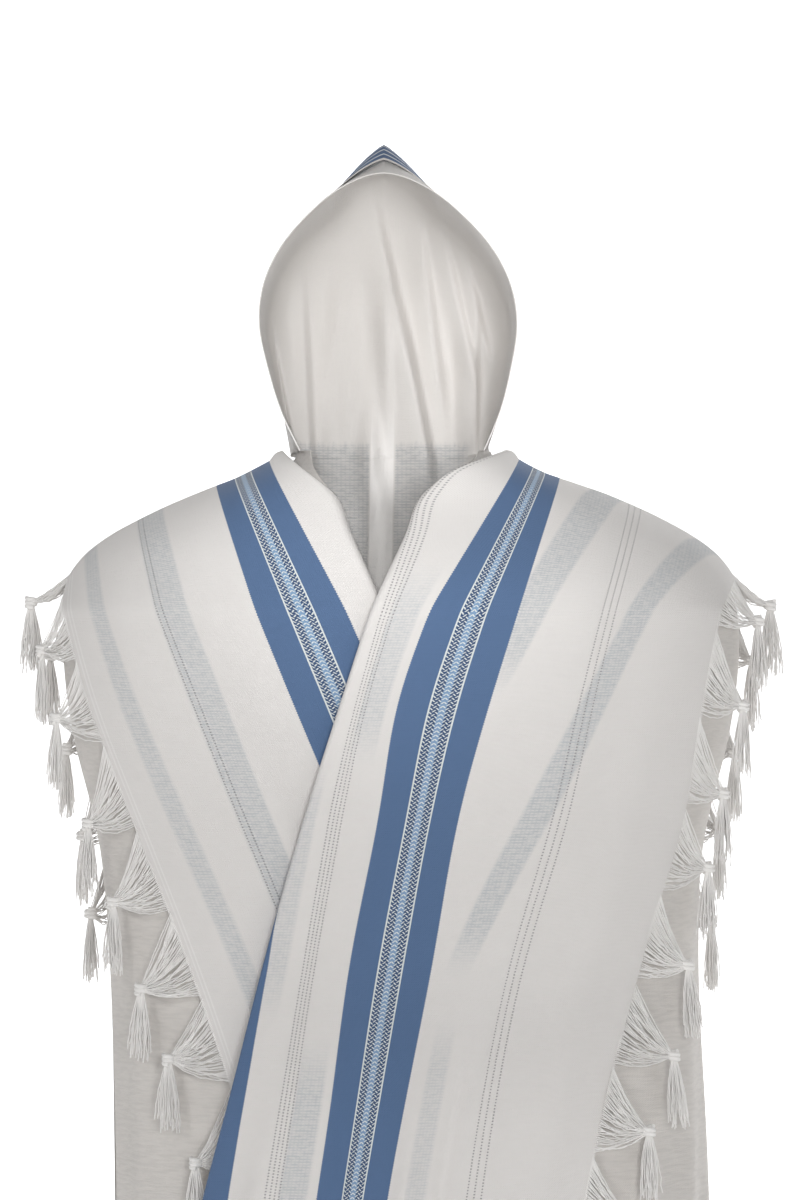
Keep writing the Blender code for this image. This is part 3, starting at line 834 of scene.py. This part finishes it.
def yarnsToMesh(name, groups, look):
    # each group is a list of runs of points and the radius of its yarn
    meshes = []
    for radius, sides, runs in groups:
        curve = bpy.data.curves.new(name, "CURVE")
        curve.dimensions = "3D"
        curve.bevel_depth = radius
        curve.bevel_resolution = sides
        curve.use_fill_caps = True
        for run in runs:
            spline = curve.splines.new("POLY")
            spline.points.add(len(run) - 1)
            for point, spot in zip(spline.points, run):
                point.co = (*spot, 1)
        holder = bpy.data.objects.new(name + "Curve", curve)
        meshes.append(bpy.data.meshes.new_from_object(holder))
        bpy.data.objects.remove(holder)
    joined = bmesh.new()
    for mesh in meshes:
        joined.from_mesh(mesh)
        bpy.data.meshes.remove(mesh)
    mesh = bpy.data.meshes.new(name)
    joined.to_mesh(mesh)
    joined.free()
    mesh.shade_smooth()
    mesh.materials.clear()
    mesh.materials.append(look)
    piece = bpy.data.objects.new(name, mesh)
    bpy.context.collection.objects.link(piece)
    return piece


def pushedOut(point, lift, overlaps):
    # moves a point that is inside the cloth to its outside
    drop = np.array([-point.z])
    shift = float(sectionAt(drop, lift)[3][0])
    turn = np.array([math.atan2(point.x - shift, -point.y)])
    lift = lift + max(float(hangingOut(drop, turn)[0]), 0.0)
    half, front, back, shift = (float(a[0]) for a in sectionAt(drop, round(lift, 3)))
    deep = front + float(np.sum(standOff(drop, overlaps))) if point.y < 0 else back
    power = form["squareness"]
    size = (abs((point.x - shift) / half) ** power + abs(point.y / deep) ** power) ** (1 / power)
    if size >= 1:
        return point
    out = 1 / max(size, 0.2)
    return Vector((shift + (point.x - shift) * out, point.y * out, point.z))


def onFlap(flap, station, share):
    # one point of a flap
    return Vector(flapPoint(flap, np.array([station]), np.array([share]), form["layer"])[0])


def makeFringe(word, look):
    flap = flaps[word]
    dice = random.Random(fringe["seed"] + flap["side"])
    stations = np.linspace(2, -1, 400)
    run = flapPoint(flap, stations, np.zeros(400), form["layer"])
    lengths = np.concatenate(((0,), np.cumsum(np.linalg.norm(np.diff(run, axis=0), axis=1))))
    margin = (lengths[-1] - fringe["spacing"] * (fringe["perSide"] - 1)) / 2
    down = Vector((0, 0, -1))
    fans, tassels, knots = [], [], []
    for index in range(fringe["perSide"]):
        at = margin + index * fringe["spacing"]
        station = float(np.interp(at, lengths, stations))
        edge = onFlap(flap, station, 0.0)
        outward = (edge - onFlap(flap, station, 0.02)).normalized()
        level = Vector((outward.x, outward.y, 0)).normalized()
        clear = form["layer"] + fringe["knotClear"]
        lower = fringe["reach"] * (0.6 + 0.25 * dice.uniform(-1, 1))
        knot = pushedOut(edge + level * fringe["reach"] * 0.8 + down * lower, clear, flap["overlaps"])
        end = pushedOut(knot + down * fringe["tassel"], clear, flap["overlaps"])
        side = level  # the tassel's broad way, along the edge of the body
        face = side.cross((end - knot).normalized()).normalized()
        for k in range(fringe["fanYarns"]):
            share = (k + 0.5) / fringe["fanYarns"]
            root = at + (share - 0.5) * (fringe["spacing"] - 0.002)
            station0 = float(np.interp(root, lengths, stations))
            start = onFlap(flap, station0, 0.004)
            aim = knot + side * dice.uniform(-0.002, 0.002) + face * dice.uniform(-0.002, 0.002)
            points = []
            sag = 0.006 * dice.uniform(0.3, 1.3)
            sway = dice.uniform(-0.002, 0.002)
            phase, crimp = dice.uniform(0, 6), dice.uniform(0.0002, 0.0008)
            for step in range(12):
                t = step / 11
                middle = math.sin(math.pi * t)
                spot = start.lerp(aim, t) + down * (sag * middle) + side * sway * middle
                spot += down * crimp * math.sin(t * 26 + phase) * middle
                if 0.05 < t < 0.8:
                    spot = pushedOut(spot, form["layer"] * (0.6 + 0.5 * t) + 0.001, flap["overlaps"])
                points.append(spot)
            fans.append(points)
        for k in range(fringe["tasselYarns"]):
            angle = k * 2.399963
            spread = math.sqrt((k + 0.5) / fringe["tasselYarns"])
            length = fringe["tassel"] * dice.uniform(0.84, 1.14)
            wide = 0.0095 * spread
            lean = Vector((math.cos(angle), math.sin(angle), 0))
            bend, phase = dice.uniform(-0.004, 0.004), dice.uniform(0, 6)
            points = []
            for step in range(9):
                t = step / 8
                flare = 0.18 + 0.82 * math.sin(min(t * 1.25, 1) * math.pi / 2)
                spot = knot.lerp(end, t * length / fringe["tassel"])
                spot = spot + (side * lean.x + face * lean.y * 0.45) * wide * flare
                spot += side * (bend * t * t + 0.0006 * math.sin(t * 22 + phase) * t)
                points.append(spot)
            tassels.append(points)
        turns = []
        axis = (end - knot).normalized()
        for step in range(22):
            t = step / 21
            angle = t * 2 * math.pi * 2.3
            ring = side * math.cos(angle) + face * math.sin(angle)
            turns.append(knot + axis * (t - 0.5) * 0.008 + ring * 0.0040)
        knots.append(turns)
    groups = ((fringe["yarn"], 0, fans), (fringe["yarn"], 0, tassels), (fringe["knotYarn"], 1, knots))
    return yarnsToMesh("fringe" + word.capitalize(), groups, look)


tzitzit = {
    "length": 0.30,
    "inset": 0.035,
    "strings": 8,
    "string": 0.0009,
    "wound": 0.40,  # share of the length that is wound
    "knotsAt": (0.07, 0.14, 0.22, 0.31, 0.40),
    "woundRadius": 0.0026,
}


def makeTzitzit(word, behind, look):
    flap = flaps[word]
    dice = random.Random(31 + flap["side"] + 5 * behind)
    end = -1.0 if behind else 2.0
    x, drop, back = (a[0] for a in flapSpot(flap, np.array([end]), np.array([0.0]), form["layer"]))
    start = drop - tzitzit["inset"]
    lift = round(form["layer"] + 0.006, 3)
    x -= flap["side"] * tzitzit["inset"]

    def spotAt(low):
        held = np.array([min(low, form["hem"])])
        turn = turnAt(np.array([x]), held, lift, np.array([behind]))
        spot = Vector(aroundBody(held, turn, lift, flap["overlaps"])[0])
        return Vector((spot.x, spot.y, -low))

    strings, winding, knots = [], [], []
    for k in range(tzitzit["strings"]):
        angle = 2 * math.pi * k / tzitzit["strings"]
        points = []
        for step in range(22):
            t = step / 21
            loose = ease(t, tzitzit["wound"], 1.0)
            radius = 0.0013 + 0.0075 * float(loose)
            sway = 0.004 * math.sin(t * 6 + k) * float(loose)
            spot = spotAt(start + tzitzit["length"] * t * dice.uniform(0.985, 1.0))
            aside = Vector((math.cos(angle) * radius + sway, math.sin(angle) * radius * 0.35, 0))
            points.append(spot + aside)
        strings.append(points)
    turns = 44
    steps = turns * 7
    for step in range(steps + 1):
        t = step / steps
        spot = spotAt(start + tzitzit["length"] * (0.02 + (tzitzit["wound"] - 0.02) * t))
        angle = 2 * math.pi * turns * t
        winding.append(spot + Vector((math.cos(angle), math.sin(angle), 0)) * tzitzit["woundRadius"])
    for share in tzitzit["knotsAt"]:
        centre = spotAt(start + tzitzit["length"] * share)
        ring = []
        for step in range(13):
            angle = step / 12 * 2 * math.pi * 1.5
            rise = 0.003 * step / 12 - 0.0015
            ring.append(centre + Vector((math.cos(angle) * 0.0032, math.sin(angle) * 0.0026, rise)))
        knots.append(ring)
    groups = ((tzitzit["string"], 1, strings), (0.0007, 0, [winding]), (0.0016, 1, knots))
    return yarnsToMesh(f"tzitzit{word.capitalize()}{'Back' if behind else 'Front'}", groups, look)


def dress(piece, look, node):
    piece.data.materials.clear()
    piece.data.materials.append(look)
    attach(piece, "root")
    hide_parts(*([node] if isinstance(node, str) else node))
    return piece


print("making the cloth")
# the sides' tint is darker and warmer than the flaps' white: partly the cloth's tone, partly painted shade
sideShadeCloth = plainLook("tallitClothSide", (0.755, 0.722, 0.688), ribs=0.5)
hoodPiece = dress(makeHood(), napeLook("Hood"), "hood")
ataraPiece = dress(makeAtara(), ataraLook(), "atara")
backPiece = dress(makeBack(), napeLook("Back"), "back")
sides = {word: dress(makeSide(word), sideShadeCloth, "side_" + word) for word in ("right", "left")}
for word in ("right", "left"):
    dress(makeFlap(word), flapLook(word), "flap_" + word)

print("making the fringe")
yarn = yarnLook()
trim = {}
for word in ("right", "left"):
    nodes = [f"fringe_{word}_{k + 1:02d}" for k in range(fringe["perSide"])]
    trim[word] = [dress(makeFringe(word, yarn), yarn, nodes)]
    for behind in (False, True):
        node = f"tzitzit_{word}_{'back' if behind else 'front'}"
        trim[word].append(dress(makeTzitzit(word, behind, yarn), yarn, node))

print("setting the stage")
stage = {
    "floor": -1.60,
    "reach": 40.0,
    "backdrop": 14.0,  # distance behind the shawl
    "bend": 3.0,
    "cameraFar": 5.0,
    "cameraPlace": (0.007, -0.3915),
    "viewHeight": 1.044,  # height of the view at the shawl
}


# where each lamp stands, where it aims, its size and its power
lamps = {
    "keyLight": ((-1.9, -3.4, 1.0), (0, 0, -0.5), 1.0, 24),
    "frontLight": ((0.7, -4.6, -0.2), (0, 0, -0.4), 0.9, 54),
    "backLight": ((2.6, 4.6, 1.6), (0, 0, -0.5), 2.0, 90),
}


def makeStage():
    sweep = bmesh.new()
    reach, floor, bend = stage["reach"], stage["floor"], stage["bend"]
    line = [(-reach, 0.0), (stage["backdrop"], 0.0)]
    for step in range(1, 13):
        angle = math.pi / 2 * step / 12
        line.append((stage["backdrop"] + bend * math.sin(angle), bend * (1 - math.cos(angle))))
    line.append((stage["backdrop"] + bend, reach))
    verts = [sweep.verts.new((-reach, y, floor + z)) for y, z in line]
    edges = [sweep.edges.new(pair) for pair in zip(verts, verts[1:])]
    made = bmesh.ops.extrude_edge_only(sweep, edges=edges)["geom"]
    farVerts = [v for v in made if isinstance(v, bmesh.types.BMVert)]
    bmesh.ops.translate(sweep, verts=farVerts, vec=(2 * reach, 0, 0))
    bmesh.ops.recalc_face_normals(sweep, faces=sweep.faces)
    mesh = bpy.data.meshes.new("floorSweep")
    sweep.to_mesh(mesh)
    sweep.free()
    mesh.shade_smooth()
    piece = bpy.data.objects.new("floorSweep", mesh)
    bpy.context.collection.objects.link(piece)
    g = Graph("paleStage")
    split = g.add("ShaderNodeSeparateXYZ")
    g.feed(split.inputs[0], g.add("ShaderNodeTexCoord").outputs["Object"])
    g.shader.inputs["Base Color"].default_value = (0.92, 0.92, 0.92, 1)
    g.shader.inputs["Roughness"].default_value = 1.0
    g.shader.inputs["Emission Color"].default_value = (1, 1, 1, 1)
    glow = g.times(g.rise(split.outputs[1], 2.5, 5.5), 0.85)  # brighter behind the shawl
    g.feed(g.shader.inputs["Emission Strength"], g.plus(0.15, glow))
    mesh.materials.append(g.material)


def areaLight(name, place, aim, size, power):
    lamp = bpy.data.lights.new(name, "AREA")
    lamp.energy = power
    lamp.shape = "DISK"
    lamp.size = size
    holder = bpy.data.objects.new(name, lamp)
    holder.location = place
    holder.rotation_euler = (Vector(aim) - Vector(place)).to_track_quat("-Z", "Y").to_euler()
    bpy.context.collection.objects.link(holder)


makeStage()
for lampName, settings in lamps.items():
    areaLight(lampName, *settings)
beam = bpy.data.lights.new("hoodLight", "SPOT")  # into the open hood
beam.energy, beam.spot_size, beam.spot_blend, beam.shadow_soft_size = 330, math.radians(8.5), 1.0, 0.12
beamHolder = bpy.data.objects.new("hoodLight", beam)
beamHolder.location = (0.0, -4.4, -0.26)
beamHolder.rotation_euler = (math.pi / 2, 0, 0)
bpy.context.collection.objects.link(beamHolder)
world = bpy.data.worlds.new("studio")
world.use_nodes = True
world.node_tree.nodes["Background"].inputs[0].default_value = (1, 1, 1, 1)
world.node_tree.nodes["Background"].inputs[1].default_value = 0.19
bpy.context.scene.world = world
bpy.context.scene.view_settings.view_transform = "Standard"

camera = bpy.data.objects.new("camera", bpy.data.cameras.new("camera"))
camera.location = (stage["cameraPlace"][0], -stage["cameraFar"], stage["cameraPlace"][1])
camera.rotation_euler = (math.pi / 2, 0, 0)
camera.data.sensor_width = 36
camera.data.lens = 36 * stage["cameraFar"] / stage["viewHeight"]
camera.data.clip_end = 200
bpy.context.collection.objects.link(camera)
bpy.context.scene.camera = camera

print("finishing")
